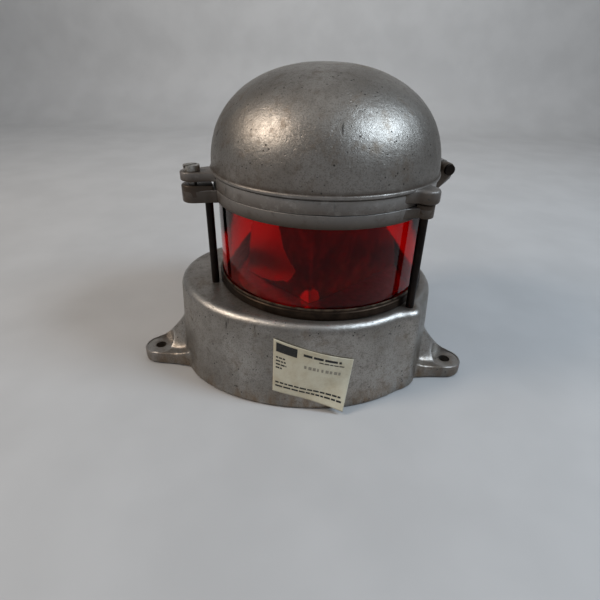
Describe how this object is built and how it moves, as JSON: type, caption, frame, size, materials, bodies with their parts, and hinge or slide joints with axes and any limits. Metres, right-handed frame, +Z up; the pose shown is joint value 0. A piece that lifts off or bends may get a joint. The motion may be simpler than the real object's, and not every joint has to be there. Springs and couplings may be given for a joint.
{
  "type": "navigation light",
  "caption": "Ship's side light with a two-eared cast base, a red cylindrical lens between tie rods, and a hinged domed hood held by a clamp screw.",
  "frame": {"origin": "midway between the centres of the two ear holes, on the underside of the base", "axes": "+X along the ears towards the hinge side, +Z up through the hood, +Y towards the cable gland"},
  "size_m": [0.291, 0.2307, 0.2466],
  "materials": {
    "cast_aluminium": "sand-cast, worn, lightly stained",
    "plate_steel": "dull zinc plated",
    "rubber_seal": "matt black",
    "bright_screws": "worn, slightly tarnished",
    "green_screw": "green dyed zinc",
    "brass": "tarnished",
    "phenolic": "moulded, dull",
    "wire_insulation": "matt insulation",
    "dark_bronze": "dark brown patina",
    "red_glass": "clear red, glossy",
    "ceramic": "glazed porcelain",
    "clear_glass": "clear",
    "tungsten": "dull wire",
    "black_sheet": "black paint, slightly glossy",
    "label_paper": "aged paper"
  },
  "bodies": {
    "light_body": {"base_casting": "cast_aluminium", "bottom_plate": "plate_steel", "bottom_gasket": "rubber_seal", "bottom_screws": "bright_screws", "ground_screw": "green_screw", "gland_body": "brass", "gland_seal": "rubber_seal", "gland_nut": "brass", "terminal_block": "phenolic", "terminal_screws": "brass", "terminal_block_screws": "bright_screws", "internal_leads": "wire_insulation", "lower_lens_ring": "dark_bronze", "lower_lens_gasket": "rubber_seal", "lens": "red_glass", "upper_lens_gasket": "rubber_seal", "upper_ring": "cast_aluminium", "tie_rods": "dark_bronze", "tie_rod_nuts": "brass", "lamp_plate": "plate_steel", "lamp_plate_screws": "bright_screws", "lamp_socket": "ceramic", "socket_contact": "brass", "lamp_cap": "brass", "lamp_bulb": "clear_glass", "lamp_filament": "tungsten", "light_screen": "black_sheet", "screen_rivets": "dark_bronze", "hinge_pin": "dark_bronze", "hinge_pin_clip": "dark_bronze", "maker_label": "label_paper"},
    "hood": {"hood_casting": "cast_aluminium", "hood_gasket": "rubber_seal"},
    "clamp": {"clamp_screw": "bright_screws"}
  },
  "joints": [
    {"name": "hood_hinge", "type": "hinge", "parent": "light_body", "child": "hood", "pos_m": [0.11659, 0.07732, 0.166], "axis": [-0.3256, 0.9455, 0], "range_deg": [0, 100]},
    {"name": "clamp_screw_lift", "type": "slide", "parent": "hood", "child": "clamp", "axis": [0, 0, 1], "range_m": [0, 0.014]}
  ]
}
